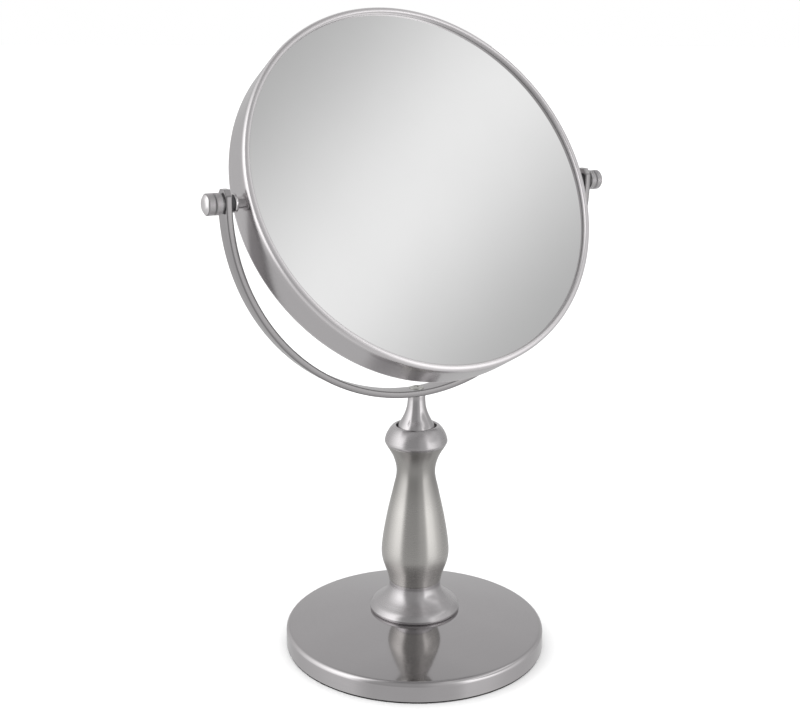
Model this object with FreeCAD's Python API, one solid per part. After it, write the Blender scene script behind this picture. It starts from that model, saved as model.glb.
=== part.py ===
import FreeCAD, Part
import math
import os

# Two-sided swivelling vanity mirror on a turned pedestal. Millimetres, +Z up.
# Origin: centre of the underside, on the table. The tilt pins lie along X, the flat glass
# looks towards -Y and is tilted back by TILT_DEG.

V = FreeCAD.Vector
X_AXIS = V(1, 0, 0)
Y_AXIS = V(0, 1, 0)
Z_AXIS = V(0, 0, 1)

# ---- head -------------------------------------------------------------------------------
PIVOT_Z = 258.0          # height of the tilt axis
TILT_DEG = 28.6          # backward tilt of the flat glass
RIM_R = 101.6            # outside radius of the hoop
RIM_HALF = 11.5          # half the head's depth, bead crest to centre
RIM_WALL = 1.1
BEAD_DROP = 3.2          # how far the rolled bead comes back from its crest
BEAD_CREST_R = 98.9      # radius of the bead's crest
SIGHT_R = 97.9           # radius of the glass that shows
GLASS_R = 99.6           # radius of the glass as cut
GLASS_FACE = 9.9         # glass edge plane, from the head's middle plane
FLAT_GLASS = 3.0
BENT_GLASS = 2.6
BENT_SPHERE_R = 800.0    # radius of the magnifying glass's hollow face
CORE_R = 92.0            # foam disc between the two glasses

# ---- yoke and tilt pins -----------------------------------------------------------------
BOW_IN = 107.7           # inside radius of the bow, and inside face of its ears
BOW_OUT = 111.3
BOW_WIDTH = 10.4
BOW_EDGE = 0.7           # rounding along the bow
EAR_TOP = 7.0            # top of the ear above the tilt axis
EAR_SHOULDER = 3.6       # where its clipped corners begin
EAR_FLAT = 5.2           # width left flat at the top
PIN_R = 2.0
PIN_GAP = 0.05           # radial running clearance
BOSS_R = 3.0
BOSS_END = 104.1         # outer face of the boss on the hoop
STEEL_WASHER = 1.7
STEEL_WASHER_R = 4.7
NYLON_WASHER = 1.9
NYLON_WASHER_R = 4.1
INSERT_IN = 93.4         # inner end of the captive nut inside the hoop
KNOB_COLLAR_R = 4.9
KNOB_COLLAR_END = 112.3
KNOB_R = 5.45
KNOB_BAND = 3.5          # length of one knurled band
KNOB_GROOVE = 0.35       # groove between the two bands
KNOB_DOME = 1.6
KNURL_TEETH = 40
KNURL_DEPTH = 0.28

# ---- post and neck ----------------------------------------------------------------------
NECK_TOP = 146.9
NECK_TOP_R = 4.9
NECK_FOOT = 126.9
NECK_FOOT_R = 10.45
POST_R = 6.0
POST_TOP = 131.0
SPIGOT_R = 4.0
SPIGOT_TOP = 56.0
POST_LOW = 42.5
TRAVEL = 60.0            # how far the post can be drawn out

# ---- pedestal ---------------------------------------------------------------------------
TUBE_R = 8.0
TUBE_BORE = 7.0
TUBE_LOW = 21.5
TUBE_TOP = 117.2
SEAT_Z = 20.5            # top of the base, where the foot stands
FOOT_TOP = 38.2
BODY_TOP = 118.4
RIDGE_R = 17.35          # crisp ridge round the collar
COLLAR_TOP = 129.4
MOUTH_R = 11.2
MOUTH_FLOOR = 126.7
BORE_R = 8.1             # bore through the pedestal pieces
BODY_WALL = 2.2

# ---- base -------------------------------------------------------------------------------
BASE_R = 73.2
SHELL_LOW = 0.9
SHELL_EDGE = 12.0        # top of the straight side with its round
EDGE_ROUND = 2.8
SHELL_WALL = 1.0
SEAT_R = 26.5            # flat ring the foot stands on
STUD_R = 3.0
WEIGHT_R = 62.0
PAD_R = 72.8             # part of the pad under the shell's rim
PAD_INNER_R = 71.9       # part of the pad that stands inside the shell
PAD_THICK = 1.8


def point(r, z):
    """A point of a turned profile."""
    return V(r, 0, z)


def line(a, b):
    return Part.LineSegment(point(*a), point(*b)).toShape()


def arc(a, middle, b):
    return Part.Arc(point(*a), point(*middle), point(*b)).toShape()


def curve(stations):
    spline = Part.BSplineCurve()
    spline.interpolate([point(r, z) for r, z in stations])
    return spline.toShape()


def turned(edges):
    """Turn a closed profile of edges in the XZ plane about +Z."""
    face = Part.Face(Part.Wire(Part.__sortEdges__(edges)))
    return face.revolve(V(0, 0, 0), Z_AXIS, 360)


def turned_polygon(stations):
    """Turn a closed straight-sided profile, given as (radius, height) corners."""
    corners = [point(r, z) for r, z in stations]
    face = Part.Face(Part.makePolygon(corners + corners[:1]))
    return face.revolve(V(0, 0, 0), Z_AXIS, 360)


def disc(radius, low, high):
    return Part.makeCylinder(radius, high - low, V(0, 0, low), Z_AXIS)


def ring(outer, inner, low, high):
    return disc(outer, low, high).cut(disc(inner, low - 1, high + 1))


def side_ring(side, outer, inner, near, far):
    """A ring about the tilt axis; side is +1 for right, -1 for left."""
    axis = V(side, 0, 0)
    start = V(side * near, 0, PIVOT_Z)
    body = Part.makeCylinder(outer, far - near, start, axis)
    if inner > 0:
        start = V(side * (near - 1), 0, PIVOT_Z)
        body = body.cut(Part.makeCylinder(inner, far - near + 2, start, axis))
    return body


def hex_nut(across, bore, low, high):
    """A nut with chamfered corners."""
    corner_r = across / math.sqrt(3)
    corners = [V(corner_r * math.cos(math.radians(60 * i)),
                 corner_r * math.sin(math.radians(60 * i)), low) for i in range(7)]
    body = Part.Face(Part.makePolygon(corners)).extrude(V(0, 0, high - low))
    cone = turned_polygon([(0, low), (across / 2 + 0.2, low), (corner_r, low + 0.6),
                           (corner_r, high - 0.6), (across / 2 + 0.2, high), (0, high)])
    return body.common(cone).cut(disc(bore, low - 1, high + 1))


def tip_head(shape):
    """Bring a shape made about +Z into the tilted head."""
    placed = shape.copy()
    placed.rotate(V(0, 0, 0), X_AXIS, 90 - TILT_DEG)
    placed.translate(V(0, 0, PIVOT_Z))
    return placed


def bent_face(r):
    """Height of the magnifying glass's hollow face, from the head's middle plane."""
    edge = math.sqrt(BENT_SPHERE_R ** 2 - GLASS_R ** 2)
    return -GLASS_FACE + math.sqrt(BENT_SPHERE_R ** 2 - r ** 2) - edge


# ---- base -------------------------------------------------------------------------------
def base_skin(inset):
    """Turned solid bounded by the base's outside, moved inwards by inset."""
    side_r = BASE_R - inset
    knee_r = BASE_R - EDGE_ROUND
    knee_z = SHELL_EDGE - EDGE_ROUND
    bend = EDGE_ROUND - inset
    lean = math.radians(80)
    knee_top = (knee_r + bend * math.cos(lean), knee_z + bend * math.sin(lean))
    knee_mid = (knee_r + bend * math.cos(lean / 2), knee_z + bend * math.sin(lean / 2))
    seat = (SEAT_R, SEAT_Z - inset)
    mid = ((knee_top[0] + seat[0]) / 2, (knee_top[1] + seat[1]) / 2 + 0.45)
    return turned([line((0, SHELL_LOW), (side_r, SHELL_LOW)),
                   line((side_r, SHELL_LOW), (side_r, knee_z)),
                   arc((side_r, knee_z), knee_mid, knee_top),
                   arc(knee_top, mid, seat),
                   line(seat, (0, SEAT_Z - inset)),
                   line((0, SEAT_Z - inset), (0, SHELL_LOW))])


def make_base_shell():
    shell = base_skin(0).cut(base_skin(SHELL_WALL))
    return shell.cut(disc(STUD_R + 0.2, -1, SEAT_Z + 1))


def make_base_weight():
    low = PAD_THICK
    hub_top = SEAT_Z - SHELL_WALL
    body = turned_polygon([(0, low), (WEIGHT_R, low), (WEIGHT_R, low + 4.6),
                           (20, low + 5.6), (13, hub_top), (0, hub_top)])
    body = body.cut(disc(10.5, low - 1, low + 6.5))
    return body.cut(disc(STUD_R + 0.2, -1, SEAT_Z + 1))


def make_base_pad():
    """Foam disc with a thin edge that reaches under the shell's rim."""
    return disc(PAD_R, 0, SHELL_LOW).fuse(disc(PAD_INNER_R, 0, PAD_THICK)).removeSplitter()


def make_base_washer():
    top = PAD_THICK + 6.5
    return ring(9.0, STUD_R + 0.2, top - 1.2, top)


def make_base_nut():
    top = PAD_THICK + 5.3
    return hex_nut(10.0, STUD_R + 0.02, top - 4.6, top)


def make_anchor_plug():
    """Threaded plug closing the guide tube and holding the pedestal to the base."""
    plug = disc(TUBE_BORE - 0.02, TUBE_LOW, TUBE_LOW + 9)
    stud = disc(STUD_R, PAD_THICK + 0.4, TUBE_LOW)
    return plug.fuse(stud).removeSplitter()


# ---- pedestal ---------------------------------------------------------------------------
def make_foot():
    outline = [(25.0, SEAT_Z + 0.4), (25.4, SEAT_Z + 1.2), (25.4, SEAT_Z + 2.0)]
    flare = [(25.4, SEAT_Z + 2.0), (23.7, 25.0), (20.9, 27.0), (18.2, 29.0),
             (16.3, 31.0), (15.0, 33.2), (14.5, 35.6), (14.7, FOOT_TOP)]
    edges = [line((TUBE_R + 0.05, SEAT_Z), (24.6, SEAT_Z)),
             line((24.6, SEAT_Z), outline[0]),
             line(outline[0], outline[1]),
             line(outline[1], outline[2]),
             curve(flare),
             line(flare[-1], (TUBE_R + 0.05, FOOT_TOP)),
             line((TUBE_R + 0.05, FOOT_TOP), (TUBE_R + 0.05, SEAT_Z))]
    return turned(edges).cut(ring(20.0, 13.0, SEAT_Z - 1, SEAT_Z + 3.0))


def body_stations(inset):
    """The vase from its lower seam to its upper seam."""
    return [(14.7 - inset, FOOT_TOP), (15.6 - inset, 42.2), (18.2 - inset, 50.0),
            (18.95 - inset, 54.8), (18.4 - inset, 62.8), (15.95 - inset, 77.4),
            (12.75 - inset, 92.0), (10.85 - inset, 101.0), (11.1 - inset, 106.3),
            (13.0 - inset, 112.3), (16.6 - inset, BODY_TOP)]


def make_body():
    outer = body_stations(0)
    edges = [line((0, FOOT_TOP), outer[0]),
             curve(outer),
             line(outer[-1], (0, BODY_TOP)),
             line((0, BODY_TOP), (0, FOOT_TOP))]
    inner = body_stations(BODY_WALL)
    hollow_edges = [line((0, FOOT_TOP), inner[0]),
                    curve(inner),
                    line(inner[-1], (0, BODY_TOP)),
                    line((0, BODY_TOP), (0, FOOT_TOP))]
    hollow = turned(hollow_edges).common(disc(30, FOOT_TOP + 4, BODY_TOP - 24))
    return turned(edges).cut(hollow).cut(disc(BORE_R, FOOT_TOP - 1, BODY_TOP + 1))


def make_collar():
    shoulder = [(RIDGE_R, 121.2), (16.5, 124.0), (14.8, 127.0), (13.2, 128.8),
                (12.2, COLLAR_TOP)]
    edges = [line((BORE_R, BODY_TOP), (16.6, BODY_TOP)),
             line((16.6, BODY_TOP), (RIDGE_R, 120.1)),
             line((RIDGE_R, 120.1), shoulder[0]),
             curve(shoulder),
             line(shoulder[-1], (MOUTH_R, COLLAR_TOP)),
             line((MOUTH_R, COLLAR_TOP), (MOUTH_R, 124.0)),
             line((MOUTH_R, 124.0), (BORE_R, 124.0)),
             line((BORE_R, 124.0), (BORE_R, BODY_TOP))]
    return turned(edges)


def make_guide_tube():
    return ring(TUBE_R, TUBE_BORE, TUBE_LOW, TUBE_TOP)


def make_mouth_bush():
    """Flanged nylon bush that guides the post in the collar."""
    body_r = BORE_R - 0.05
    flange_r = MOUTH_R - 0.05
    edges = [(POST_R + PIN_GAP, TUBE_TOP + 0.1), (body_r, TUBE_TOP + 0.1), (body_r, 124.0),
             (flange_r, 124.0), (flange_r, MOUTH_FLOOR - 0.4), (flange_r - 0.4, MOUTH_FLOOR),
             (POST_R + PIN_GAP, MOUTH_FLOOR)]
    return turned_polygon(edges)


# ---- sliding piece ----------------------------------------------------------------------
BUSH_LOW = 45.0
BUSH_TOP = 55.9
RING_HEIGHTS = (48.2, 52.7)
RING_R = 0.9


def make_slider_bush():
    body = ring(TUBE_BORE - PIN_GAP, SPIGOT_R + PIN_GAP, BUSH_LOW, BUSH_TOP)
    for z in RING_HEIGHTS:
        body = body.cut(ring(TUBE_BORE + 1, TUBE_BORE - 2 * RING_R - 0.1, z - 1.0, z + 1.0))
    return body


def make_friction_rings():
    centre_r = TUBE_BORE - PIN_GAP - RING_R
    return Part.makeCompound([Part.makeTorus(centre_r, RING_R, V(0, 0, z), Z_AXIS)
                              for z in RING_HEIGHTS])


# ---- post, neck and yoke ----------------------------------------------------------------
def make_post():
    body = turned_polygon([(0, POST_LOW), (SPIGOT_R - 0.4, POST_LOW),
                           (SPIGOT_R, POST_LOW + 0.4), (SPIGOT_R, SPIGOT_TOP),
                           (POST_R - 0.3, SPIGOT_TOP), (POST_R, SPIGOT_TOP + 0.3),
                           (POST_R, POST_TOP - 0.3), (POST_R - 0.3, POST_TOP),
                           (0, POST_TOP)])
    body = body.cut(ring(SPIGOT_R + 1, 3.2, BUSH_LOW - 1.7, BUSH_LOW - 0.7))
    return body.cut(disc(2.45, 112.0, POST_TOP + 1))


def make_post_washer():
    return ring(6.2, SPIGOT_R + 0.05, BUSH_LOW - 0.65, BUSH_LOW - 0.05)


def make_post_clip():
    """Open retaining clip in the post's groove."""
    clip = ring(5.4, 3.25, BUSH_LOW - 1.65, BUSH_LOW - 0.75)
    return clip.cut(Part.makeBox(4.4, 8, 4, V(-2.2, 0, BUSH_LOW - 3)))


def make_neck():
    flare = [(NECK_FOOT_R, NECK_FOOT + 0.9), (9.6, 130.0), (7.25, 134.4), (5.55, 139.0),
             (NECK_TOP_R, 143.6), (NECK_TOP_R, NECK_TOP)]
    edges = [line((0, NECK_FOOT), (NECK_FOOT_R - 0.3, NECK_FOOT)),
             line((NECK_FOOT_R - 0.3, NECK_FOOT), (NECK_FOOT_R, NECK_FOOT + 0.3)),
             line((NECK_FOOT_R, NECK_FOOT + 0.3), flare[0]),
             curve(flare),
             line(flare[-1], (0, NECK_TOP)),
             line((0, NECK_TOP), (0, NECK_FOOT))]
    body = turned(edges).cut(disc(POST_R + 0.02, NECK_FOOT - 1, POST_TOP + 0.05))
    return body.cut(disc(2.6, NECK_FOOT, NECK_TOP + 1))


def make_bow():
    """Half ring with clipped ears, drilled for the tilt pins and for its screw."""
    half = BOW_WIDTH / 2
    outline = [line((-BOW_OUT, EAR_TOP), (-BOW_OUT, 0)),
               arc((-BOW_OUT, 0), (0, -BOW_OUT), (BOW_OUT, 0)),
               line((BOW_OUT, 0), (BOW_OUT, EAR_TOP)),
               line((BOW_OUT, EAR_TOP), (BOW_IN, EAR_TOP)),
               line((BOW_IN, EAR_TOP), (BOW_IN, 0)),
               arc((BOW_IN, 0), (0, -BOW_IN), (-BOW_IN, 0)),
               line((-BOW_IN, 0), (-BOW_IN, EAR_TOP)),
               line((-BOW_IN, EAR_TOP), (-BOW_OUT, EAR_TOP))]
    face = Part.Face(Part.Wire(Part.__sortEdges__(outline)))
    face.translate(V(0, -half, 0))
    bow = face.extrude(V(0, BOW_WIDTH, 0))
    flank_edges = [e for e in bow.Edges if e.BoundBox.YLength < 0.01 and e.Length > 5]
    bow = bow.makeFillet(BOW_EDGE, flank_edges)
    for edge in (-1, 1):
        clip = [V(-BOW_OUT - 1, edge * y, z) for y, z in (
            (EAR_FLAT / 2, EAR_TOP), (half, EAR_SHOULDER), (half + 1, EAR_SHOULDER),
            (half + 1, EAR_TOP + 1), (EAR_FLAT / 2, EAR_TOP + 1))]
        clip = Part.Face(Part.makePolygon(clip + clip[:1]))
        bow = bow.cut(clip.extrude(V(2 * BOW_OUT + 2, 0, 0)))
    for side in (-1, 1):
        outward = V(side, 0, 0)
        spot_face = Part.makeCylinder(5.4, 4, V(side * (BOW_IN - 4), 0, 0), outward)
        pin_hole = Part.makeCylinder(PIN_R + 2 * PIN_GAP, 8, V(side * (BOW_IN - 2), 0, 0), outward)
        bow = bow.cut(spot_face).cut(pin_hole)
    bow.translate(V(0, 0, PIVOT_Z))
    bow = bow.cut(disc(2.6, 140, 160))
    return bow.cut(Part.makeBox(20, 20, 4, V(-10, -10, NECK_TOP - 4)))


def make_bow_screw():
    """Flat screw with a slightly domed head and a crossed slot."""
    seat = PIVOT_Z - BOW_IN + 0.1
    crown = seat + 1.1
    head = turned([line((0, seat), (3.9, seat)),
                   line((3.9, seat), (3.8, seat + 0.4)),
                   arc((3.8, seat + 0.4), (2.2, seat + 0.95), (0, crown)),
                   line((0, crown), (0, seat))])
    for size in ((3.6, 0.8), (0.8, 3.6)):
        slot = Part.makeBox(size[0], size[1], 2, V(-size[0] / 2, -size[1] / 2, seat + 0.4))
        head = head.cut(slot)
    return head.fuse(disc(2.4, 114.0, seat + 0.5)).removeSplitter()


def both_sides(outer, inner, near, far):
    return Part.makeCompound([side_ring(side, outer, inner, near, far) for side in (-1, 1)])


def make_steel_washers():
    low = BOW_IN - NYLON_WASHER - STEEL_WASHER
    return both_sides(STEEL_WASHER_R, PIN_R + 2 * PIN_GAP, low, low + STEEL_WASHER)


def make_nylon_washers():
    return both_sides(NYLON_WASHER_R, PIN_R + 2 * PIN_GAP, BOW_IN - NYLON_WASHER, BOW_IN)


# ---- head -------------------------------------------------------------------------------
def make_rim():
    """Hoop with its front edge rolled into a round bead over the glass."""
    inner = RIM_R - RIM_WALL
    crest = (BEAD_CREST_R, RIM_HALF)
    shoulder = (RIM_R, RIM_HALF - BEAD_DROP)
    back = 1.6 - RIM_HALF
    edges = [line((inner, back), (RIM_R, back)),
             line((RIM_R, back), shoulder),
             arc(shoulder, (RIM_R - 0.75, RIM_HALF - 0.85), crest),
             arc(crest, (98.15, RIM_HALF - 0.3), (SIGHT_R, GLASS_FACE + 0.35)),
             line((SIGHT_R, GLASS_FACE + 0.35), (SIGHT_R, GLASS_FACE)),
             line((SIGHT_R, GLASS_FACE), (inner - 0.6, GLASS_FACE)),
             line((inner - 0.6, GLASS_FACE), (inner, GLASS_FACE - 0.6)),
             line((inner, GLASS_FACE - 0.6), (inner, back))]
    hoop = tip_head(turned(edges))
    for side in (-1, 1):
        hoop = hoop.cut(side_ring(side, PIN_R + PIN_GAP, 0, INSERT_IN, BOW_OUT))
    return hoop


def make_rear_ring():
    """Rounded ring that closes the back and holds the magnifying glass."""
    seam = 1.6 - RIM_HALF
    crest = (BEAD_CREST_R, -RIM_HALF)
    tongue = RIM_R - RIM_WALL - 0.05
    tongue_end = 3.4 - GLASS_FACE
    edges = [line((RIM_R, seam), (RIM_R, seam - 0.1)),
             arc((RIM_R, seam - 0.1), (RIM_R - 0.7, -RIM_HALF + 0.55), crest),
             arc(crest, (98.15, -RIM_HALF + 0.3), (SIGHT_R, -GLASS_FACE - 0.35)),
             line((SIGHT_R, -GLASS_FACE - 0.35), (SIGHT_R, -GLASS_FACE)),
             line((SIGHT_R, -GLASS_FACE), (GLASS_R + 0.1, -GLASS_FACE)),
             line((GLASS_R + 0.1, -GLASS_FACE), (GLASS_R + 0.1, tongue_end)),
             line((GLASS_R + 0.1, tongue_end), (tongue, tongue_end)),
             line((tongue, tongue_end), (tongue, seam)),
             line((tongue, seam), (RIM_R, seam))]
    return tip_head(turned(edges))


def make_flat_glass():
    return tip_head(disc(GLASS_R, GLASS_FACE - FLAT_GLASS, GLASS_FACE))


def bent_profile(r_max, thick, top):
    """Closed profile between the hollow glass's face moved up by thick, and a plane."""
    a = (0, bent_face(0) + thick)
    middle = (r_max / 2, bent_face(r_max / 2) + thick)
    b = (r_max, bent_face(r_max) + thick)
    return [arc(a, middle, b), line(b, (r_max, top)), line((r_max, top), (0, top)),
            line((0, top), a)]


def make_bent_glass():
    outer = turned(bent_profile(GLASS_R, 0, GLASS_FACE))
    inner = turned(bent_profile(GLASS_R + 1, BENT_GLASS, GLASS_FACE + 1))
    return tip_head(outer.cut(inner))


def make_core():
    """Foam disc that fills the space between the two glasses."""
    return tip_head(turned(bent_profile(CORE_R, BENT_GLASS + 0.05, GLASS_FACE - FLAT_GLASS - 0.05)))


def make_glass_rest():
    """Plastic ring that keeps the two glasses apart at their edge."""
    low = bent_face(GLASS_R) + BENT_GLASS + 0.4
    body = tip_head(ring(GLASS_R, 97.0, low, GLASS_FACE - FLAT_GLASS - 0.05))
    for side in (-1, 1):
        body = body.cut(side_ring(side, 5.6, 0, INSERT_IN - 1, BOW_IN))
    return body


def make_boss(side):
    outside = tip_head(disc(RIM_R, -20, 20))
    body = side_ring(side, BOSS_R, PIN_R + PIN_GAP, RIM_R - 3, BOSS_END)
    return body.cut(outside)


def make_insert(side):
    inside = tip_head(disc(RIM_R - RIM_WALL, -20, 20))
    return side_ring(side, 4.5, PIN_R + PIN_GAP, INSERT_IN, RIM_R).common(inside)


# ---- knobs ------------------------------------------------------------------------------
def knurled(side, near, far):
    """Toothed band of a knob."""
    corners = []
    for i in range(2 * KNURL_TEETH):
        r = KNOB_R if i % 2 == 0 else KNOB_R - KNURL_DEPTH
        angle = math.pi * i / KNURL_TEETH
        corners.append(V(side * near, r * math.cos(angle), PIVOT_Z + r * math.sin(angle)))
    face = Part.Face(Part.makePolygon(corners + corners[:1]))
    return face.extrude(V(side * (far - near), 0, 0))


def make_knob(side):
    first_end = KNOB_COLLAR_END + KNOB_BAND
    second = first_end + KNOB_GROOVE
    second_end = second + KNOB_BAND
    core_r = KNOB_R - 2 * KNURL_DEPTH
    body = side_ring(side, KNOB_COLLAR_R, 0, BOW_OUT, KNOB_COLLAR_END)
    body = body.fuse(side_ring(side, core_r, 0, KNOB_COLLAR_END, second_end))
    body = body.fuse(knurled(side, KNOB_COLLAR_END, first_end))
    body = body.fuse(knurled(side, second, second_end))
    face = turned([line((0, second_end), (KNOB_R - 0.1, second_end)),
                   arc((KNOB_R - 0.1, second_end),
                       (0.66 * KNOB_R, second_end + 0.78 * KNOB_DOME),
                       (0, second_end + KNOB_DOME)),
                   line((0, second_end + KNOB_DOME), (0, second_end))])
    face.rotate(V(0, 0, 0), Y_AXIS, 90 * side)
    face.translate(V(0, 0, PIVOT_Z))
    body = body.fuse(face).removeSplitter()
    return body.cut(side_ring(side, PIN_R, 0, BOW_OUT - 1, second_end - 1.2))


def make_pin(side):
    """Threaded pin fixed in the knob and turning in the head's captive nut."""
    end = KNOB_COLLAR_END + 2 * KNOB_BAND + KNOB_GROOVE - 1.3
    return side_ring(side, PIN_R, 0, INSERT_IN + 0.6, end)


# ---- write every piece ------------------------------------------------------------------
PIECES = {
    "base_pad": make_base_pad(),
    "base_shell": make_base_shell(),
    "base_weight": make_base_weight(),
    "base_washer": make_base_washer(),
    "base_nut": make_base_nut(),
    "anchor_plug": make_anchor_plug(),
    "guide_tube": make_guide_tube(),
    "pedestal_foot": make_foot(),
    "pedestal_body": make_body(),
    "pedestal_collar": make_collar(),
    "mouth_bush": make_mouth_bush(),
    "slider_bush": make_slider_bush(),
    "friction_rings": make_friction_rings(),
    "post": make_post(),
    "post_washer": make_post_washer(),
    "post_clip": make_post_clip(),
    "neck_cone": make_neck(),
    "yoke_bow": make_bow(),
    "bow_screw": make_bow_screw(),
    "steel_washers": make_steel_washers(),
    "nylon_washers": make_nylon_washers(),
    "rim_hoop": make_rim(),
    "rear_ring": make_rear_ring(),
    "flat_glass": make_flat_glass(),
    "magnifying_glass": make_bent_glass(),
    "core_disc": make_core(),
    "glass_rest": make_glass_rest(),
    "boss_left": make_boss(-1),
    "boss_right": make_boss(1),
    "captive_nut_left": make_insert(-1),
    "captive_nut_right": make_insert(1),
    "knob_left": make_knob(-1),
    "knob_right": make_knob(1),
    "pin_left": make_pin(-1),
    "pin_right": make_pin(1),
}

os.makedirs("parts", exist_ok=True)
for name, shape in PIECES.items():
    if not shape.isValid():
        raise ValueError(name + " is not a valid shape")
    shape.exportStep("parts/" + name + ".step")
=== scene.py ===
import math

import bpy
from mathutils import Matrix, Vector


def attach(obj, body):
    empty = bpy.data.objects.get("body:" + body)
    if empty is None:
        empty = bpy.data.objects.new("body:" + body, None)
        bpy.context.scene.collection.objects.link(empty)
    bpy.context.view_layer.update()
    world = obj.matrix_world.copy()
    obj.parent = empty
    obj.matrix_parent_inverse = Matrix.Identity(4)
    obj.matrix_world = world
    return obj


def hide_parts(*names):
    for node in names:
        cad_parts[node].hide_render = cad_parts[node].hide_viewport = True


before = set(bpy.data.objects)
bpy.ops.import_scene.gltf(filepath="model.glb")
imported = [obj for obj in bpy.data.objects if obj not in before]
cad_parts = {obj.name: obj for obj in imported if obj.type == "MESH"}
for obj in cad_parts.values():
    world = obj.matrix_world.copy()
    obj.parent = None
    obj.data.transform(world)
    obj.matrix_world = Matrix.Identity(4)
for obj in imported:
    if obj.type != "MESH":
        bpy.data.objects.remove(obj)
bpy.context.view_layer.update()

MM = 0.001

# ---- the CAD model's own measures, in millimetres ------------------------------------------
# Heights are above the table for the base, pedestal and neck, above the tilt axis for the ears,
# and along the head's own axis from its middle plane for the hoop and glasses. Places of the
# bosses, washers and knobs are measured outwards from the middle along the tilt axis.
BASE_R = 73.2
EDGE_ROUND = 2.8            # rounding of the cover's upper edge
SHELL_LOW = 0.9             # lower edge of the cover
SHELL_EDGE = 12.0           # top of its straight side with the rounding
SHELL_WALL = 1.0
PAD_R = 72.8                # pad under the cover's edge
PAD_INNER_R = 71.9          # pad inside the cover
PAD_THICK = 1.8
SEAT_R = 26.5               # flat place the foot stands on
SEAT_Z = 20.5
FOOT_TOP = 38.2
FOOT_BORE = 8.1
BODY_TOP = 118.4
RIDGE_R = 17.35             # ridge round the collar
COLLAR_TOP = 129.4
MOUTH_R = 11.2
MOUTH_LOW = 124.0
NECK_LOW = 126.9
NECK_TOP = 146.9
NECK_HOLE_R = 2.6           # hole for the bow's screw
PIVOT_Z = 258.0
TILT_DEG = 28.6
BOW_IN = 107.7
BOW_OUT = 111.3
BOW_WIDTH = 10.4
EAR_TOP = 7.0
EAR_SHOULDER = 3.6          # where an ear's clipped corners begin
EAR_FLAT = 5.2              # width left flat at its top
RIM_R = 101.6
RIM_HALF = 11.5             # half the head's depth
RIM_WALL = 1.1
SIGHT_R = 97.9              # glass that shows
BEAD_CREST_R = 98.9
SEAM = 1.6 - RIM_HALF       # joint between the hoop and the back ring
GLASS_R = 99.6
GLASS_FACE = 9.9            # plane of the glass's edge
TONGUE_END = 3.4 - GLASS_FACE
FLAT_BACK = GLASS_FACE - 3.0
BENT_SPHERE_R = 800.0       # curve of the hollow glass
BOSS_END = 104.1
NYLON_IN = BOW_IN - 1.9     # joint between the metal and the plastic washer
NYLON_R = 4.1
STEEL_R = 4.7
KNOB_R = 5.45
KNURL_DEPTH = 0.28
COLLAR_END = 112.3          # end of the knob's plain collar
BAND = 3.5                  # length of one knurled band
GROOVE = 0.35               # between the bands
FIRST_END = COLLAR_END + BAND
SECOND = FIRST_END + GROOVE
SECOND_END = SECOND + BAND
BANDS = ((COLLAR_END, FIRST_END), (SECOND, SECOND_END))

# ---- measures of the pieces drawn here, where they differ from the CAD's or add to them -------
STUD_HOLE_R = 3.2           # hole in the cover for the pedestal's stud
BORE = 8.2                  # bore of the vase and the collar
LIP = 0.55                  # rounding of the collar's mouth
NECK_SOCKET_R = 6.02        # socket for the post, under the neck
NECK_SOCKET_TOP = 131.05
BOW_EDGE = 0.8              # rounding of the bow's edges
SEAT_GAP = 0.9              # the glasses' seats lie this far inside the plane of their edge
FLAT_FRONT = GLASS_FACE - 1.0
BENT_THICK = 1.7
WASHER_HOLE_R = 2.1
TEETH = 24                  # diamond knurl; the CAD's is straight and finer

# Steps round a turned piece, by how large it is.
LARGE, WIDE, MIDDLE, NARROW, SMALL = 256, 192, 160, 128, 64

PIVOT = Matrix.Translation((0, 0, PIVOT_Z * MM))
HEAD = PIVOT @ Matrix.Rotation(math.radians(90 - TILT_DEG), 4, "X")


# ---- geometry helpers --------------------------------------------------------------------
def arc_points(centre, radius, start_deg, end_deg, steps):
    """Points of a circular arc in the (radius, height) plane."""
    out = []
    for i in range(steps + 1):
        a = math.radians(start_deg + (end_deg - start_deg) * i / steps)
        out.append((centre[0] + radius * math.cos(a), centre[1] + radius * math.sin(a)))
    return out


def rounded(corners, steps=5):
    """Polygon with rounded corners. Each corner is (r, z) or (r, z, fillet radius)."""
    out = []
    count = len(corners)
    for i, corner in enumerate(corners):
        p = Vector(corner[:2])
        fillet = corner[2] if len(corner) > 2 else 0
        if not fillet:
            out.append(tuple(p))
            continue
        a = (Vector(corners[i - 1][:2]) - p).normalized()
        b = (Vector(corners[(i + 1) % count][:2]) - p).normalized()
        half = a.angle(b) / 2
        reach = fillet / math.tan(half)
        centre = p + (a + b).normalized() * (fillet / math.sin(half))
        first = p + a * reach - centre
        last = p + b * reach - centre
        turn = first.angle_signed(last)
        for k in range(steps + 1):
            v = first.copy()
            v.rotate(Matrix.Rotation(-turn * k / steps, 2))
            out.append(tuple(centre + v))
    return out


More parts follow.
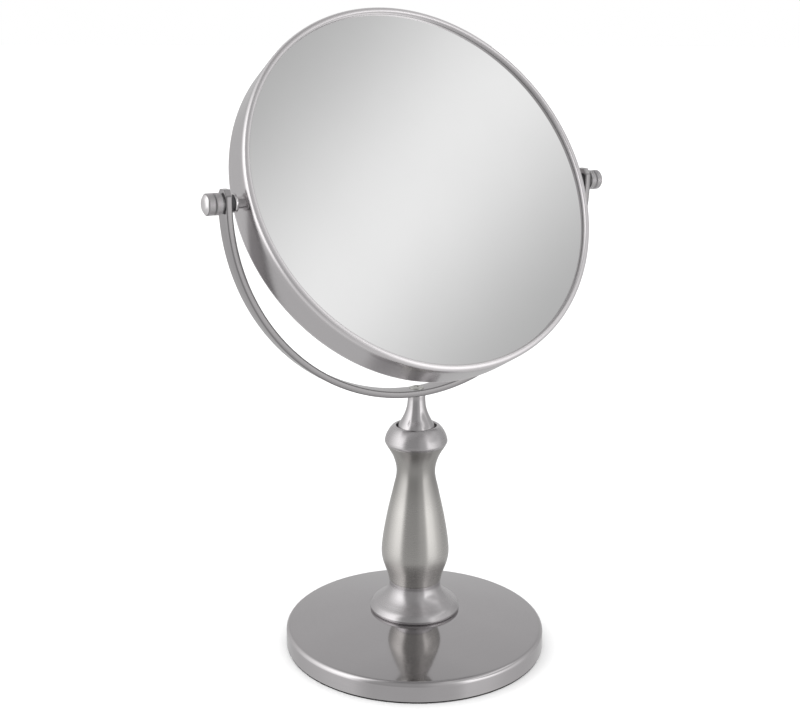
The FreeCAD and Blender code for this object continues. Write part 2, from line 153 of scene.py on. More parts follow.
def spline(stations, steps=8):
    """Smooth curve through stations (centripetal Catmull-Rom)."""
    pts = [Vector(s) for s in stations]
    pts = [pts[0] * 2 - pts[1]] + pts + [pts[-1] * 2 - pts[-2]]
    out = []
    for i in range(1, len(pts) - 2):
        p = pts[i - 1:i + 3]
        t = [0.0]
        for k in range(3):
            t.append(t[-1] + math.sqrt((p[k + 1] - p[k]).length))
        for s in range(steps):
            u = t[1] + (t[2] - t[1]) * s / steps
            a1 = p[0] * ((t[1] - u) / (t[1] - t[0])) + p[1] * ((u - t[0]) / (t[1] - t[0]))
            a2 = p[1] * ((t[2] - u) / (t[2] - t[1])) + p[2] * ((u - t[1]) / (t[2] - t[1]))
            a3 = p[2] * ((t[3] - u) / (t[3] - t[2])) + p[3] * ((u - t[2]) / (t[3] - t[2]))
            b1 = a1 * ((t[2] - u) / (t[2] - t[0])) + a2 * ((u - t[0]) / (t[2] - t[0]))
            b2 = a2 * ((t[3] - u) / (t[3] - t[1])) + a3 * ((u - t[1]) / (t[3] - t[1]))
            out.append(tuple(b1 * ((t[2] - u) / (t[2] - t[1])) + b2 * ((u - t[1]) / (t[2] - t[1]))))
    out.append(tuple(stations[-1]))
    return out


def finish_piece(obj, body, replaces, mat, matrix=None):
    """Put the piece in place, give it its material and tie it to its body."""
    if matrix is not None:
        obj.matrix_world = matrix
    obj.data.materials.clear()
    obj.data.materials.append(mat)
    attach(obj, body)
    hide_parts(*replaces)


def new_object(name, verts, faces, angle=32):
    """Object from vertices in mm, smooth but for edges sharper than angle degrees."""
    mesh = bpy.data.meshes.new(name)
    mesh.from_pydata([tuple(c * MM for c in v) for v in verts], [], faces)
    mesh.update()
    for polygon in mesh.polygons:
        polygon.use_smooth = True
    mesh.set_sharp_from_angle(angle=math.radians(angle))
    obj = bpy.data.objects.new(name, mesh)
    bpy.context.scene.collection.objects.link(obj)
    return obj


def lathe_data(profile, segments):
    """Vertices and faces of a closed profile turned about Z. A point on the axis becomes one
    vertex."""
    verts, faces, rows = [], [], []
    for r, z in profile:
        if r < 1e-6:
            rows.append([len(verts)] * segments)
            verts.append((0, 0, z))
        else:
            rows.append(list(range(len(verts), len(verts) + segments)))
            for k in range(segments):
                a = 2 * math.pi * k / segments
                verts.append((r * math.cos(a), r * math.sin(a), z))
    for low, high in zip(rows, rows[1:] + rows[:1]):
        for k in range(segments):
            n = (k + 1) % segments
            face = [low[k], low[n], high[n], high[k]]
            face = [v for i, v in enumerate(face) if v != face[i - 1]]
            if len(face) > 2:
                faces.append(face)
    return verts, faces


def lathe(name, profile, body, mat, replaces, segments, matrix=None):
    """A turned piece."""
    obj = new_object(name, *lathe_data(profile, segments))
    finish_piece(obj, body, replaces, mat, matrix)


# ---- material helpers --------------------------------------------------------------------
class Nodes:
    """Small shorthand for building a node tree."""

    def __init__(self, tree):
        self.tree = tree

    def add(self, kind, **values):
        node = self.tree.nodes.new(kind)
        for key, value in values.items():
            setattr(node, key, value)
        return node

    def link(self, a, b):
        self.tree.links.new(a, b)

    def math(self, op, *values):
        node = self.add("ShaderNodeMath", operation=op)
        for i, v in enumerate(values):
            if isinstance(v, (int, float)):
                node.inputs[i].default_value = v
            else:
                self.link(v, node.inputs[i])
        return node.outputs[0]

    def spread(self, value, low, high, out_low, out_high, smooth=False):
        node = self.add("ShaderNodeMapRange")
        if smooth:
            node.interpolation_type = "SMOOTHSTEP"
        self.link(value, node.inputs["Value"])
        for key, v in (("From Min", low), ("From Max", high),
                       ("To Min", out_low), ("To Max", out_high)):
            node.inputs[key].default_value = v
        return node.outputs["Result"]

    def noise(self, vector, scale, detail, rough, w=None):
        node = self.add("ShaderNodeTexNoise")
        node.noise_dimensions = "4D" if w is not None else "3D"
        self.link(vector, node.inputs["Vector"])
        if w is not None:
            self.link(w, node.inputs["W"])
        node.inputs["Scale"].default_value = scale
        node.inputs["Detail"].default_value = detail
        node.inputs["Roughness"].default_value = rough
        return node.outputs[0]

    def ramp(self, value, stops):
        node = self.add("ShaderNodeValToRGB")
        ramp = node.color_ramp
        while len(ramp.elements) < len(stops):
            ramp.elements.new(0.5)
        for element, (place, colour) in zip(ramp.elements, stops):
            element.position = place
            element.color = (*colour, 1)
        self.link(value, node.inputs["Fac"])
        return node.outputs["Color"]

    def place(self):
        return self.add("ShaderNodeTexCoord").outputs["Object"]

    def split(self, vector):
        node = self.add("ShaderNodeSeparateXYZ")
        self.link(vector, node.inputs[0])
        return node.outputs

    def join(self, x, y, z):
        node = self.add("ShaderNodeCombineXYZ")
        for i, v in enumerate((x, y, z)):
            self.link(v, node.inputs[i])
        return node.outputs[0]

    def bump(self, height, distance_mm):
        node = self.add("ShaderNodeBump")
        node.inputs["Distance"].default_value = distance_mm * MM
        node.inputs["Strength"].default_value = 1.0
        self.link(height, node.inputs["Height"])
        return node.outputs[0]


def new_material(name):
    """A material, its node builder and its main shader."""
    mat = bpy.data.materials.new(name)
    mat.use_nodes = True
    return mat, Nodes(mat.node_tree), mat.node_tree.nodes["Principled BSDF"]


def shades(colour, dark, light):
    """The colour made darker and lighter by these factors."""
    return tuple(c * dark for c in colour), tuple(min(1.0, c * light) for c in colour)


def grain(n, axis, pitch_mm, stretch):
    """Fine grooves that run round an axis, Y or Z: a noise stretched along the turning
    direction. Also returns the distance from the axis."""
    x, y, z = n.split(n.place())
    a, b, c = (x, z, y) if axis == "Y" else (x, y, z)
    radius = n.math("SQRT", n.math("ADD", n.math("MULTIPLY", a, a), n.math("MULTIPLY", b, b)))
    safe = n.math("MAXIMUM", radius, 1e-5)
    around_a = n.math("MULTIPLY", n.math("DIVIDE", a, safe), stretch)
    around_b = n.math("MULTIPLY", n.math("DIVIDE", b, safe), stretch)
    k = 1 / (pitch_mm * MM)
    vector = n.join(around_a, around_b, n.math("MULTIPLY", c, k))
    return n.noise(vector, 1.0, detail=3.0, rough=0.62, w=n.math("MULTIPLY", radius, k)), radius


def brushed(name, colour, roughness, axis="Z", pitch=0.12, stretch=3.0, aniso=0.0, depth=0.0008,
            streak=0.05, smudge=0.03, painted_light_and_roughness=None):
    """Satin metal with fine turned grooves, faint smudges and a little tone variation. pitch and
    depth are in mm. aniso stretches the highlights of a piece turned about Z. The last argument
    gives painted light and shade, as a gain on the colour from the piece's own coordinates, and
    an addition to the roughness."""
    mat, n, s = new_material(name)
    fine, _ = grain(n, axis, pitch, stretch)
    broad, radius = grain(n, axis, pitch * 6, stretch * 0.5)
    cloud = n.noise(n.place(), 38.0, detail=4.0, rough=0.55)
    mix = n.math("ADD", n.math("MULTIPLY", fine, 0.75), n.math("MULTIPLY", broad, 0.25))
    tone = n.spread(mix, 0.3, 0.7, -streak, streak)
    tone = n.math("ADD", tone, n.spread(cloud, 0.3, 0.7, -0.03, 0.03))
    dark, light = shades(colour, 0.72, 1.18)
    col = n.ramp(n.math("ADD", tone, 0.5), [(0.0, dark), (0.5, colour), (1.0, light)])
    rough = n.math("ADD", n.spread(mix, 0.3, 0.7, roughness - 0.015, roughness + 0.02),
                   n.spread(cloud, 0.35, 0.7, -smudge * 0.4, smudge))
    # Painted light and shade: a gain on the colour from the piece's own coordinates.
    if painted_light_and_roughness:
        gain, extra = painted_light_and_roughness(n, radius)
        scale = n.add("ShaderNodeVectorMath", operation="SCALE")
        n.link(col, scale.inputs[0])
        n.link(gain, scale.inputs["Scale"])
        col = scale.outputs[0]
        rough = n.math("ADD", rough, extra)
    n.link(col, s.inputs["Base Color"])
    n.link(rough, s.inputs["Roughness"])
    s.inputs["Metallic"].default_value = 1.0
    if aniso:
        s.inputs["Anisotropic"].default_value = aniso
        s.inputs["Anisotropic Rotation"].default_value = 0.25
        tangent = n.add("ShaderNodeTangent", direction_type="RADIAL", axis="Z")
        n.link(tangent.outputs[0], s.inputs["Tangent"])
    n.link(n.bump(mix, depth), s.inputs["Normal"])
    return mat


def polished(name, colour, roughness, wear=0.06):
    """Bright plated metal with faint turning marks and fingerprints."""
    mat, n, s = new_material(name)
    fine, _ = grain(n, "Z", 0.5, 1.4)
    cloud = n.noise(n.place(), 90.0, detail=5.0, rough=0.6)
    tone = n.math("ADD", n.spread(fine, 0.3, 0.7, 0.42, 0.58),
                  n.spread(cloud, 0.3, 0.7, -0.03, 0.03))
    dark, light = shades(colour, 0.8, 1.1)
    n.link(n.ramp(tone, [(0.0, dark), (0.5, colour), (1.0, light)]), s.inputs["Base Color"])
    n.link(n.math("ADD", n.spread(fine, 0.3, 0.7, roughness, roughness + 0.04),
                  n.spread(cloud, 0.45, 0.75, 0.0, wear)), s.inputs["Roughness"])
    s.inputs["Metallic"].default_value = 1.0
    n.link(n.bump(fine, 0.0012), s.inputs["Normal"])
    return mat


def plain(name, colour, roughness, scale, bump_mm, contrast=0.25, specular=0.5):
    """Moulded, cast or foamed stuff: mottled colour and a matching fine relief."""
    mat, n, s = new_material(name)
    mottle = n.noise(n.place(), scale, detail=6.0, rough=0.65)
    dark, light = shades(colour, 1 - contrast, 1 + contrast)
    n.link(n.ramp(mottle, [(0.3, dark), (0.5, colour), (0.72, light)]), s.inputs["Base Color"])
    n.link(n.spread(mottle, 0.3, 0.7, roughness - 0.08, roughness + 0.08), s.inputs["Roughness"])
    s.inputs["Specular IOR Level"].default_value = specular
    n.link(n.bump(mottle, bump_mm), s.inputs["Normal"])
    return mat


def silvered(name, dull, clear):
    """Silvered glass with the faintest haze and dust. dull and clear are grey levels."""
    mat, n, s = new_material(name)
    haze = n.noise(n.place(), 14.0, detail=5.0, rough=0.6)
    n.link(n.ramp(haze, [(0.3, (dull,) * 3), (0.7, (clear,) * 3)]), s.inputs["Base Color"])
    specks = n.noise(n.place(), 900.0, detail=2.0, rough=0.5)
    n.link(n.math("ADD", n.spread(haze, 0.35, 0.75, 0.0, 0.018),
                  n.spread(specks, 0.70, 0.80, 0.0, 0.05)), s.inputs["Roughness"])
    s.inputs["Metallic"].default_value = 1.0
    return mat


NICKEL = (0.567, 0.549, 0.557)
WARM_NICKEL = (0.568, 0.553, 0.532)
BRIGHT = (0.70, 0.685, 0.69)
KNOB_BRIGHT = (0.76, 0.74, 0.75)
# A shaded copy of NICKEL: painted shade for the cover's top and the bow.
SHADED_NICKEL = tuple(c * 0.82 for c in NICKEL)


def base_painted_highlight(n, radius):
    """Painted highlight: the cover's side is painted lighter than its top, and its rounded edge a
    touch lighter still and a little rougher.
    """
    z = n.split(n.place())[2]
    rim = n.spread(radius, 71.2 * MM, 72.8 * MM, 0.0, 1.0, True)
    edge = n.spread(z, 8.5 * MM, 10.5 * MM, 0.20, 0.34, True)
    gain = n.math("ADD", 1.0, n.math("MULTIPLY", rim, edge))
    return gain, n.math("MULTIPLY", rim, 0.05)


def bead_painted_highlight(n, radius):
    """Painted highlight: the whole hoop is painted a little lighter, and the rolled beads at its
    edges brighter still; the beads are also softer than its side.
    """
    z = n.split(n.place())[2]
    bead = n.spread(n.math("ABSOLUTE", z), 8.4 * MM, 10.0 * MM, 0.0, 1.0, True)
    return n.math("ADD", 1.08, n.math("MULTIPLY", bead, 0.40)), n.math("MULTIPLY", bead, 0.12)


def bow_painted_shade(n, radius):
    """Painted shade: the bow's narrow edges are painted darker than its broad faces, and are a
    little rougher.
    """
    y = n.split(n.place())[1]
    edge = n.spread(n.math("ABSOLUTE", y), 4.3 * MM, 4.9 * MM, 0.0, 1.0, True)
    return n.math("SUBTRACT", 1.0, n.math("MULTIPLY", edge, 0.28)), n.math("MULTIPLY", edge, 0.08)


def knob_painted_groove_shade(n, radius):
    """Painted shade: the bottoms of the knurl's grooves are painted dark and a little rougher, so
    its points stand out bright.
    """
    depth = n.spread(radius, (KNOB_R - KNURL_DEPTH) * MM, KNOB_R * MM, 0.0, 1.0)
    z = n.split(n.place())[2]
    banded = n.spread(z, (SECOND_END + 0.05) * MM, (SECOND_END + 0.15) * MM, 1.0, 0.0)
    shade = n.math("MULTIPLY", banded, n.math("SUBTRACT", 1.0, depth))
    return n.math("SUBTRACT", 1.0, n.math("MULTIPLY", shade, 0.72)), n.math("MULTIPLY", shade, 0.10)


def vase_painted_waist_shade(n, radius):
    """Painted shade: the vase's waist is painted a little darker than its belly."""
    z = n.split(n.place())[2]
    waist = n.spread(z, 80.0 * MM, 101.0 * MM, 0.0, 1.0, True)
    return n.math("SUBTRACT", 1.0, n.math("MULTIPLY", waist, 0.24)), n.math("MULTIPLY", waist, 0.02)


turned_nickel = brushed("turned_nickel", NICKEL, 0.26, aniso=0.85, pitch=0.09, depth=0.0004,
                        streak=0.06)
vase_nickel = brushed("vase_nickel", WARM_NICKEL, 0.26, aniso=0.85, pitch=0.09, depth=0.0004,
                      streak=0.06, painted_light_and_roughness=vase_painted_waist_shade)
neck_nickel = brushed("neck_nickel", NICKEL, 0.13, aniso=0.5, streak=0.04)
top_nickel = brushed("top_nickel", SHADED_NICKEL, 0.08, pitch=0.2, smudge=0.015, depth=0.0003,
                     painted_light_and_roughness=base_painted_highlight)
hoop_nickel = brushed("hoop_nickel", NICKEL, 0.19, aniso=0.4, pitch=0.15, painted_light_and_roughness=bead_painted_highlight)
bow_nickel = brushed("bow_nickel", SHADED_NICKEL, 0.17, axis="Y", stretch=4.0, painted_light_and_roughness=bow_painted_shade)
bright_nickel = polished("bright_nickel", BRIGHT, 0.08)
knob_nickel = brushed("knob_nickel", KNOB_BRIGHT, 0.15, stretch=1.4, streak=0.03,
                      painted_light_and_roughness=knob_painted_groove_shade)
plated = polished("plated", (0.60, 0.60, 0.57), 0.28, wear=0.12)
mirror = silvered("silvered_glass", 0.711, 0.732)
foam = plain("foam", (0.022, 0.022, 0.023), 0.85, 2200.0, 0.05, contrast=0.5, specular=0.2)
iron = plain("iron", (0.09, 0.09, 0.095), 0.62, 420.0, 0.06)
nylon = plain("nylon", (0.72, 0.71, 0.67), 0.42, 600.0, 0.01, contrast=0.05)
rubber = plain("rubber", (0.03, 0.03, 0.03), 0.6, 900.0, 0.01)
# Near-black plastic; on the washers between the ears and the hoop its darkness is painted shade for
# the gap.
grey_plastic = plain("grey_plastic", (0.05, 0.05, 0.052), 0.5, 700.0, 0.012, contrast=0.15)


# ---- base --------------------------------------------------------------------------------
def dome_line(start, end, rise, steps):
    """Slightly crowned line from the base's edge to the seat of the foot."""
    out = []
    for i in range(steps + 1):
        t = i / steps
        out.append((start[0] + (end[0] - start[0]) * t,
                    start[1] + (end[1] - start[1]) * t + 4 * rise * t * (1 - t)))
    return out


def shell_skin(inset):
    """The cover's line from the top of its side to the seat, this far inside its outer face."""
    knee = (BASE_R - EDGE_ROUND, SHELL_EDGE - EDGE_ROUND)
    bend = arc_points(knee, EDGE_ROUND - inset, 0, 80, 10)
    return bend + dome_line(bend[-1], (SEAT_R, SEAT_Z - inset), 0.45, 24)[1:]


shell_profile = ([(BASE_R - 0.15, SHELL_LOW), (BASE_R, SHELL_LOW + 0.15)] + shell_skin(0)
                 + [(STUD_HOLE_R, SEAT_Z), (STUD_HOLE_R, SEAT_Z - SHELL_WALL)]
                 + shell_skin(SHELL_WALL)[::-1]
                 + [(BASE_R - SHELL_WALL, SHELL_LOW + 0.05),
                    (BASE_R - SHELL_WALL + 0.1, SHELL_LOW)])
lathe("base_cover", shell_profile, "pedestal", top_nickel, ["base_shell"], LARGE)

pad_profile = rounded([(0, 0), (PAD_R, 0, 0.25), (PAD_R, SHELL_LOW, 0.15), (PAD_INNER_R, SHELL_LOW),
                       (PAD_INNER_R, PAD_THICK, 0.3), (0, PAD_THICK)])
lathe("base_foam", pad_profile, "pedestal", foam, ["base_pad"], WIDE)

# ---- pedestal ----------------------------------------------------------------------------
FLARE = [(25.4, SEAT_Z + 2.0), (23.7, 25.0), (20.9, 27.0), (18.2, 29.0), (16.3, 31.0),
         (15.0, 33.2), (14.5, 35.6), (14.68, FOOT_TOP - 0.22)]
foot_profile = ([(FOOT_BORE, SEAT_Z), (24.5, SEAT_Z), (24.75, SEAT_Z + 0.12),
                 (24.95, SEAT_Z + 0.4), (25.25, SEAT_Z + 0.75), (25.38, SEAT_Z + 1.15),
                 (25.4, SEAT_Z + 1.6)]
                + spline(FLARE)
                + [(14.48, FOOT_TOP - 0.05), (14.2, FOOT_TOP), (FOOT_BORE, FOOT_TOP)])
lathe("foot", foot_profile, "pedestal", turned_nickel, ["pedestal_foot"], MIDDLE)

VASE = [(14.73, FOOT_TOP + 0.2), (15.6, 42.2), (18.2, 50.0), (18.95, 54.8), (18.4, 62.8),
        (15.95, 77.4), (12.75, 92.0), (10.85, 101.0), (11.1, 106.3), (13.0, 112.3),
        (16.45, BODY_TOP - 0.2)]
vase_profile = ([(BORE, FOOT_TOP), (14.2, FOOT_TOP), (14.5, FOOT_TOP + 0.05)] + spline(VASE, 10)
                + [(16.35, BODY_TOP - 0.04), (16.1, BODY_TOP), (BORE, BODY_TOP)])
lathe("vase", vase_profile, "pedestal", vase_nickel, ["pedestal_body"], MIDDLE)

SEAM_END = (16.7, BODY_TOP + 0.22)
SHOULDER = [(RIDGE_R, 121.2), (16.5, 124.0), (14.8, 127.0), (13.2, 128.8), (12.3, 129.3)]
collar_profile = ([(BORE, BODY_TOP), (16.1, BODY_TOP), (16.5, BODY_TOP + 0.06), SEAM_END]
                  + rounded([SEAM_END, (RIDGE_R, 120.0, 0.35), SHOULDER[0]])[1:-1]
                  + spline(SHOULDER)
                  + arc_points((MOUTH_R + LIP, COLLAR_TOP - LIP), LIP, 90, 180, 6)
                  + [(MOUTH_R, MOUTH_LOW), (BORE, MOUTH_LOW)])
lathe("collar", collar_profile, "pedestal", turned_nickel, ["pedestal_collar"],
      MIDDLE)

# ---- neck --------------------------------------------------------------------------------
NECK_FLARE = [(10.45, 127.9), (9.6, 130.0), (7.25, 134.4), (5.55, 139.0), (4.9, 143.6),
              (4.9, NECK_TOP - 0.2)]
neck_profile = ([(NECK_SOCKET_R, NECK_LOW), (10.15, NECK_LOW), (10.38, NECK_LOW + 0.1),
                 (10.45, NECK_LOW + 0.3)]
                + spline(NECK_FLARE)
                + [(4.8, NECK_TOP), (NECK_HOLE_R, NECK_TOP), (NECK_HOLE_R, NECK_SOCKET_TOP),
                   (NECK_SOCKET_R, NECK_SOCKET_TOP)])
lathe("neck", neck_profile, "yoke", neck_nickel, ["neck_cone"], NARROW)


# ---- bow ---------------------------------------------------------------------------------
def bow_mesh():
    """Half ring with clipped ears; the section is a rounded rectangle."""
    thick = BOW_OUT - BOW_IN
    half = BOW_WIDTH / 2
    mid = (BOW_IN + BOW_OUT) / 2
    section = rounded([(-thick / 2, -half, BOW_EDGE), (thick / 2, -half, BOW_EDGE),
                       (thick / 2, half, BOW_EDGE), (-thick / 2, half, BOW_EDGE)], 4)
    flat = EAR_FLAT / BOW_WIDTH
    ear = [(-mid, EAR_TOP, flat - 0.04, 0.88), (-mid, EAR_TOP - 0.25, flat, 1.0),
           (-mid, EAR_SHOULDER, 1.0, 1.0), (-mid, EAR_SHOULDER / 2, 1.0, 1.0)]
    stops = [(x, z, math.pi, wide, deep) for x, z, wide, deep in ear]
    steps = 96
    for i in range(steps + 1):
        a = math.pi + math.pi * i / steps
        stops.append((mid * math.cos(a), mid * math.sin(a), a, 1.0, 1.0))
    stops += [(-x, z, 2 * math.pi, wide, deep) for x, z, wide, deep in ear[::-1]]
    verts, faces = [], []
    for x, z, a, wide, deep in stops:
        for out, y in section:
            verts.append((x + out * deep * math.cos(a), y * wide, z + out * deep * math.sin(a)))
    m = len(section)
    for i in range(len(stops) - 1):
        for k in range(m):
            n = (k + 1) % m
            faces.append([i * m + k, i * m + n, (i + 1) * m + n, (i + 1) * m + k])
    faces.append(list(range(m)))
    faces.append([(len(stops) - 1) * m + k for k in range(m)][::-1])
    return verts, faces


bow = new_object("bow", *bow_mesh(), angle=24)
finish_piece(bow, "yoke", ["yoke_bow"], bow_nickel, PIVOT)

# ---- head --------------------------------------------------------------------------------
hoop_profile = ([(RIM_R - RIM_WALL, SEAM), (RIM_R - 0.12, SEAM), (RIM_R, SEAM + 0.12)]
                + [(RIM_R, -5), (RIM_R, 0), (RIM_R, 5)]
                + spline([(RIM_R, RIM_HALF - 3.2), (RIM_R - 0.28, RIM_HALF - 1.7),
                          (RIM_R - 1.0, RIM_HALF - 0.6), (BEAD_CREST_R, RIM_HALF),
                          (SIGHT_R + 0.3, RIM_HALF - 0.3), (SIGHT_R, GLASS_FACE + 0.45)], 7)
                + [(SIGHT_R, GLASS_FACE - SEAT_GAP), (99.9, GLASS_FACE - SEAT_GAP),
                   (RIM_R - RIM_WALL, GLASS_FACE - 1.5)])
lathe("hoop", hoop_profile, "head", hoop_nickel, ["rim_hoop"], LARGE, HEAD)

TONGUE_IN = GLASS_R + 0.1
TONGUE_OUT = RIM_R - RIM_WALL - 0.05
ring_profile = ([(RIM_R - 0.1, SEAM), (RIM_R, SEAM - 0.1)]
                + spline([(RIM_R, SEAM - 0.15), (RIM_R - 0.7, -RIM_HALF + 0.55),
                          (BEAD_CREST_R, -RIM_HALF), (SIGHT_R + 0.3, -RIM_HALF + 0.3),
                          (SIGHT_R, -GLASS_FACE - 0.45)], 7)
                + [(SIGHT_R, -GLASS_FACE + SEAT_GAP), (TONGUE_IN, -GLASS_FACE + SEAT_GAP),
                   (TONGUE_IN, TONGUE_END), (TONGUE_OUT, TONGUE_END), (TONGUE_OUT, SEAM)])
lathe("back_ring", ring_profile, "head", hoop_nickel, ["rear_ring"], LARGE, HEAD)

flat_profile = [(0, FLAT_FRONT), (SIGHT_R * 0.5, FLAT_FRONT), (GLASS_R - 0.6, FLAT_FRONT),
                (GLASS_R, FLAT_FRONT - 0.4), (GLASS_R, FLAT_BACK), (0, FLAT_BACK)]
lathe("flat_mirror", flat_profile, "head", mirror, ["flat_glass"], WIDE, HEAD)


def hollow_face(r):
    """Height of the hollow glass's face at this radius."""
    edge = math.sqrt(BENT_SPHERE_R ** 2 - GLASS_R ** 2)
    return -GLASS_FACE + SEAT_GAP + math.sqrt(BENT_SPHERE_R ** 2 - r ** 2) - edge


RINGS = 24
face_line = [(r, hollow_face(r)) for r in (GLASS_R * i / RINGS for i in range(RINGS + 1))]
hollow_profile = face_line + [(r, z + BENT_THICK) for r, z in face_line[::-1]]
lathe("hollow_mirror", hollow_profile, "head", mirror, ["magnifying_glass"], WIDE,
      HEAD)


# ---- washers and knobs -------------------------------------------------------------------
def outwards(side, size):
    """Turns +Z to point outwards along the tilt axis on this side."""
    return Matrix.Rotation(math.radians(90 * side), size, "Y")


def lathe_pair(name, profile, body, mat, replaces):
    """The same turned piece on both sides, as one object with two solids."""
    verts, faces = [], []
    for side in (-1, 1):
        v, f = lathe_data(profile, SMALL)
        faces += [[i + len(verts) for i in face] for face in f]
        verts += [tuple(outwards(side, 3) @ Vector(p)) for p in v]
    finish_piece(new_object(name, verts, faces), body, replaces, mat, PIVOT)


nylon_profile = rounded([(WASHER_HOLE_R, NYLON_IN), (NYLON_R, NYLON_IN, 0.3),
                         (NYLON_R, BOW_IN, 0.15), (WASHER_HOLE_R, BOW_IN)], 3)
# The plastic washers are near-black, which paints the shade in the gap between each ear and the
# hoop.
lathe_pair("nylon_rings", nylon_profile, "yoke", grey_plastic, ["nylon_washers"])
steel_profile = rounded([(WASHER_HOLE_R, BOSS_END), (STEEL_R, BOSS_END, 0.4),
                         (STEEL_R, NYLON_IN, 0.4), (WASHER_HOLE_R, NYLON_IN)], 4)
lathe_pair("steel_rings", steel_profile, "yoke", bright_nickel, ["steel_washers"])


def knob_radius(z, angle):
    """Outside radius of the knob at a place along it, with diamond knurling on both bands."""
    for low, high in BANDS:
        if low <= z <= high:
            edge = min(z - low, high - z)
            chamfer = max(0.0, 0.3 - edge) * 0.8
            pitch = 2 * math.pi * KNOB_R / TEETH
            a = angle * TEETH / (2 * math.pi) + (z - low) / pitch
            b = angle * TEETH / (2 * math.pi) - (z - low) / pitch
            cut = max(abs(a - round(a)), abs(b - round(b)))
            return KNOB_R - chamfer - KNURL_DEPTH * max(0.0, cut - 0.34) / 0.16
    return KNOB_R - 0.5


def knob_mesh():
    """A plain collar, two knurled bands with a groove between them, and a domed end."""
    segments = TEETH * 16
    steps = 36
    heights = [low + (high - low) * i / steps for low, high in BANDS for i in range(steps + 1)]
    fixed = [(2.0, BOW_OUT), (4.55, BOW_OUT), (4.9, BOW_OUT + 0.25), (4.9, COLLAR_END - 0.05)]
    dome = spline([(KNOB_R - 0.35, SECOND_END + 0.02), (KNOB_R - 0.9, SECOND_END + 0.5),
                   (3.1, SECOND_END + 1.25), (0.0, SECOND_END + 1.6)], 6)
    verts, faces, rows = [], [], []

    def ring_at(z, radius_of):
        rows.append(list(range(len(verts), len(verts) + segments)))
        for k in range(segments):
            a = 2 * math.pi * k / segments
            r = radius_of(a)
            verts.append((r * math.cos(a), r * math.sin(a), z))

    for r, z in fixed:
        ring_at(z, lambda a, r=r: r)
    for z in heights:
        ring_at(z, lambda a, z=z: knob_radius(z, a))
    for r, z in dome[:-1]:
        ring_at(z, lambda a, r=r: r)
    for low, high in zip(rows, rows[1:]):
        for k in range(segments):
            n = (k + 1) % segments
            faces.append([low[k], low[n], high[n], high[k]])
    tip = len(verts)
    verts.append((0, 0, dome[-1][1]))
    for k in range(segments):
        faces.append([rows[-1][k], rows[-1][(k + 1) % segments], tip])
    faces.append(rows[0][::-1])
    return verts, faces


for side, word in ((-1, "left"), (1, "right")):
    knob = new_object("knob_" + word + "_turned", *knob_mesh(), angle=40)
    finish_piece(knob, word + "_knob", ["knob_" + word], knob_nickel,
                 PIVOT @ outwards(side, 4))

# ---- CAD nodes that stay, with better materials ----------------------------------------------
KEPT = {
    "base_weight": iron, "base_washer": plated, "base_nut": plated, "anchor_plug": plated,
    "guide_tube": plated, "mouth_bush": grey_plastic, "slider_bush": nylon,
    "friction_rings": rubber, "post": bright_nickel, "post_washer": plated, "post_clip": plated,
    "bow_screw": plated, "core_disc": foam, "glass_rest": grey_plastic,
    "boss_left": bright_nickel, "boss_right": bright_nickel,
    "captive_nut_left": plated, "captive_nut_right": plated,
    "pin_left": plated, "pin_right": plated,
}
for node, mat in KEPT.items():
    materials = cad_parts[node].data.materials
    materials.clear()
    materials.append(mat)

# ---- floor, light and camera -----------------------------------------------------------------
REACH = 40.0                # half the floor's width, in metres
OVERHEAD = 2.4              # strength and spread of the light from above
OVERHEAD_DEG = 100
floor_mesh = bpy.data.meshes.new("floor")
floor_mesh.from_pydata([(-REACH, -REACH, 0), (REACH, -REACH, 0), (REACH, REACH, 0),
                        (-REACH, REACH, 0)], [], [(0, 1, 2, 3)])
floor = bpy.data.objects.new("floor", floor_mesh)
bpy.context.scene.collection.objects.link(floor)
floor_mat, _, floor_shader = new_material("floor_white")
floor_shader.inputs["Base Color"].default_value = (0.9, 0.9, 0.9, 1)
floor_shader.inputs["Roughness"].default_value = 0.9
floor_shader.inputs["Specular IOR Level"].default_value = 0.0
floor_mesh.materials.append(floor_mat)
floor.visible_glossy = False

# A very soft light from above that only the floor and other matt things take up.
sky_data = bpy.data.lights.new("overhead", "SUN")
sky_data.energy = OVERHEAD
sky_data.angle = math.radians(OVERHEAD_DEG)
sky = bpy.data.objects.new("overhead", sky_data)
sky.matrix_world = Matrix.Translation((0, 0, 1.0))
sky.visible_glossy = False
bpy.context.scene.collection.objects.link(sky)


# Brightness round the horizon against the cosine of the angle from the camera's side: a darker
# front, then a tall soft panel on each hand that fades towards the back.
LEFT_HAND = [(-1.0, 0.72), (-0.85, 0.64), (-0.48, 0.78), (-0.08, 1.25), (0.33, 1.75), (0.58, 1.75),
             (0.72, 0.75), (0.80, 0.42), (1.0, 0.40)]
RIGHT_HAND = [(-1.0, 0.72), (-0.75, 0.52), (-0.33, 0.62), (0.08, 1.05), (0.40, 1.75), (0.68, 1.85),
              (0.78, 0.85), (0.84, 0.64), (0.95, 0.55), (1.0, 0.40)]
# How much of that pattern is left at each height, and what it fades into.
PANEL_GAIN = [(-1.0, 0.1), (-0.42, 0.15), (-0.2, 0.7), (0.0, 0.78), (0.25, 0.9), (0.5, 1.0),
              (0.74, 0.92), (0.87, 0.6), (0.96, 0.15), (1.0, 0.0)]
PLAIN_LEVEL = [(-1.0, 0.60), (-0.35, 0.58), (-0.1, 0.34), (1.0, 0.30)]
SEEN_WHITE = 1.0
# The slanting glow in the flat mirror: its middle, the direction across it, its half-width, the
# cosines where its patch fades in, and its dim and bright levels.
GLOW = {"middle": (0.524, -0.552, 0.649), "across": (-0.615, 0.285, 0.736), "half": 0.166,
        "fade": (0.84, 0.92), "levels": (0.60, 1.12)}


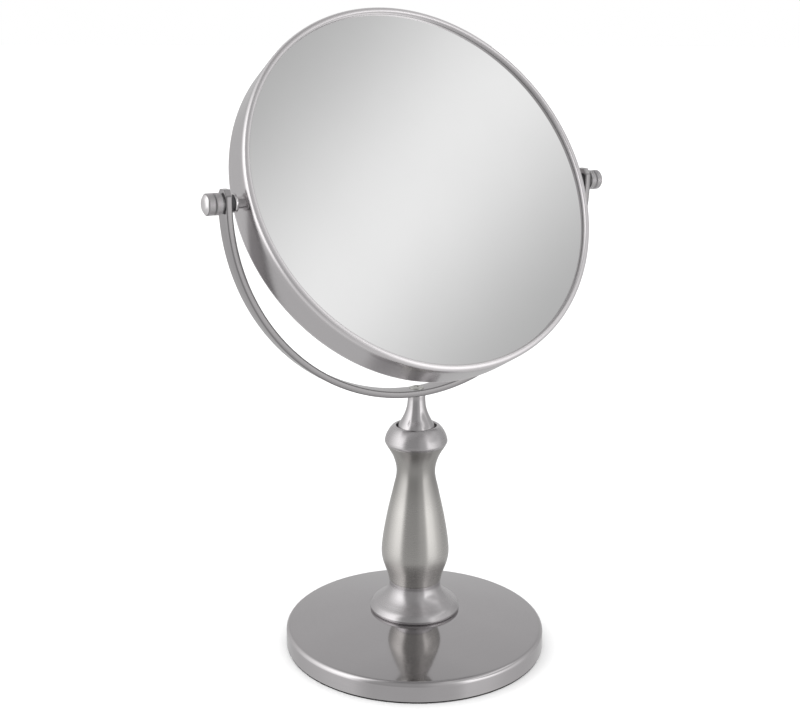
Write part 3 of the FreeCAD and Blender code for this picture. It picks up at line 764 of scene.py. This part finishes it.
def world_light():
    """Soft studio round the object, seen by reflections; the camera itself sees plain white."""
    world = bpy.data.worlds.new("studio")
    bpy.context.scene.world = world
    world.use_nodes = True
    world.node_tree.nodes.clear()
    n = Nodes(world.node_tree)
    x, y, z = n.split(n.add("ShaderNodeTexCoord").outputs["Generated"])
    square = n.math("SUBTRACT", 1.0, n.math("MULTIPLY", z, z))
    flat = n.math("SQRT", n.math("MAXIMUM", square, 1e-4))

    def towards(vector):
        """Cosine between the looked-up direction and a fixed one."""
        unit = Vector(vector).normalized()
        parts = [n.math("MULTIPLY", c, k) for c, k in zip((x, y, z), unit)]
        return n.math("ADD", parts[0], n.math("ADD", parts[1], parts[2]))

    def level(value, stops):
        """Brightness from a piecewise curve whose places run from -1 to 1."""
        top = 2.0
        places = [((p + 1) / 2, (v / top,) * 3) for p, v in stops]
        return n.math("MULTIPLY", n.ramp(value, places), top)

    def blend(a, b, amount):
        return n.math("ADD", a, n.math("MULTIPLY", n.math("SUBTRACT", b, a), amount))

    side = math.radians(CAM_AZ)
    front = n.math("DIVIDE", towards((math.sin(side), -math.cos(side), 0)), flat)
    around = n.spread(front, -1.0, 1.0, 0.0, 1.0)
    height = n.spread(z, -1.0, 1.0, 0.0, 1.0)
    right = n.spread(towards((math.cos(side), math.sin(side), 0)), -0.05, 0.05, 0.0, 1.0, True)
    pattern = blend(level(around, LEFT_HAND), level(around, RIGHT_HAND), right)
    total = blend(level(height, PLAIN_LEVEL), pattern, level(height, PANEL_GAIN))
    dim, bright = GLOW["levels"]
    slant = n.math("ABSOLUTE", towards(GLOW["across"]))
    glow = n.spread(slant, 0.0, GLOW["half"], bright, dim, True)
    total = blend(total, glow, n.spread(towards(GLOW["middle"]), *GLOW["fade"], 0.0, 1.0, True))

    background = n.add("ShaderNodeBackground")
    n.link(total, background.inputs["Strength"])
    background.inputs["Color"].default_value = (1, 1, 1, 1)
    white = n.add("ShaderNodeBackground")
    white.inputs["Strength"].default_value = SEEN_WHITE
    white.inputs["Color"].default_value = (1, 1, 1, 1)
    # The lighting pattern for reflections, plain white where the camera looks past the object.
    path = n.add("ShaderNodeLightPath")
    mix = n.add("ShaderNodeMixShader")
    n.link(path.outputs["Is Camera Ray"], mix.inputs[0])
    n.link(background.outputs[0], mix.inputs[1])
    n.link(white.outputs[0], mix.inputs[2])
    out = n.add("ShaderNodeOutputWorld")
    n.link(mix.outputs[0], out.inputs[0])


# The camera stands round from the front by CAM_AZ degrees, CAM_DIST metres from the pedestal's
# axis, and looks a little past it, downwards and slightly rolled.
CAM_AZ = -31.57
CAM_DIST = 0.6604
CAM_HEIGHT = 0.3364
CAM_YAW = 0.80
CAM_PITCH = 14.26
CAM_ROLL = 0.35
LENS = 56.37
SENSOR = 36.0


def make_camera():
    cam_data = bpy.data.cameras.new("camera")
    cam_data.lens = LENS
    cam_data.sensor_width = SENSOR
    cam_data.clip_start = 0.01
    cam_data.clip_end = 50.0
    cam = bpy.data.objects.new("camera", cam_data)
    bpy.context.scene.collection.objects.link(cam)
    place = math.radians(CAM_AZ)
    look = math.radians(CAM_AZ + CAM_YAW)
    pitch = math.radians(CAM_PITCH)
    roll = math.radians(CAM_ROLL)
    forward = Vector((-math.sin(look) * math.cos(pitch), math.cos(look) * math.cos(pitch),
                      -math.sin(pitch)))
    right = Vector((math.cos(look), math.sin(look), 0))
    up = right.cross(forward)
    x_axis = right * math.cos(roll) + up * math.sin(roll)
    y_axis = up * math.cos(roll) - right * math.sin(roll)
    turn = Matrix((x_axis, y_axis, -forward)).transposed().to_4x4()
    spot = Vector((math.sin(place) * CAM_DIST, -math.cos(place) * CAM_DIST, CAM_HEIGHT))
    cam.matrix_world = Matrix.Translation(spot) @ turn
    bpy.context.scene.camera = cam


make_camera()
world_light()
bpy.context.scene.view_settings.view_transform = "Standard"
bpy.context.scene.view_settings.look = "None"
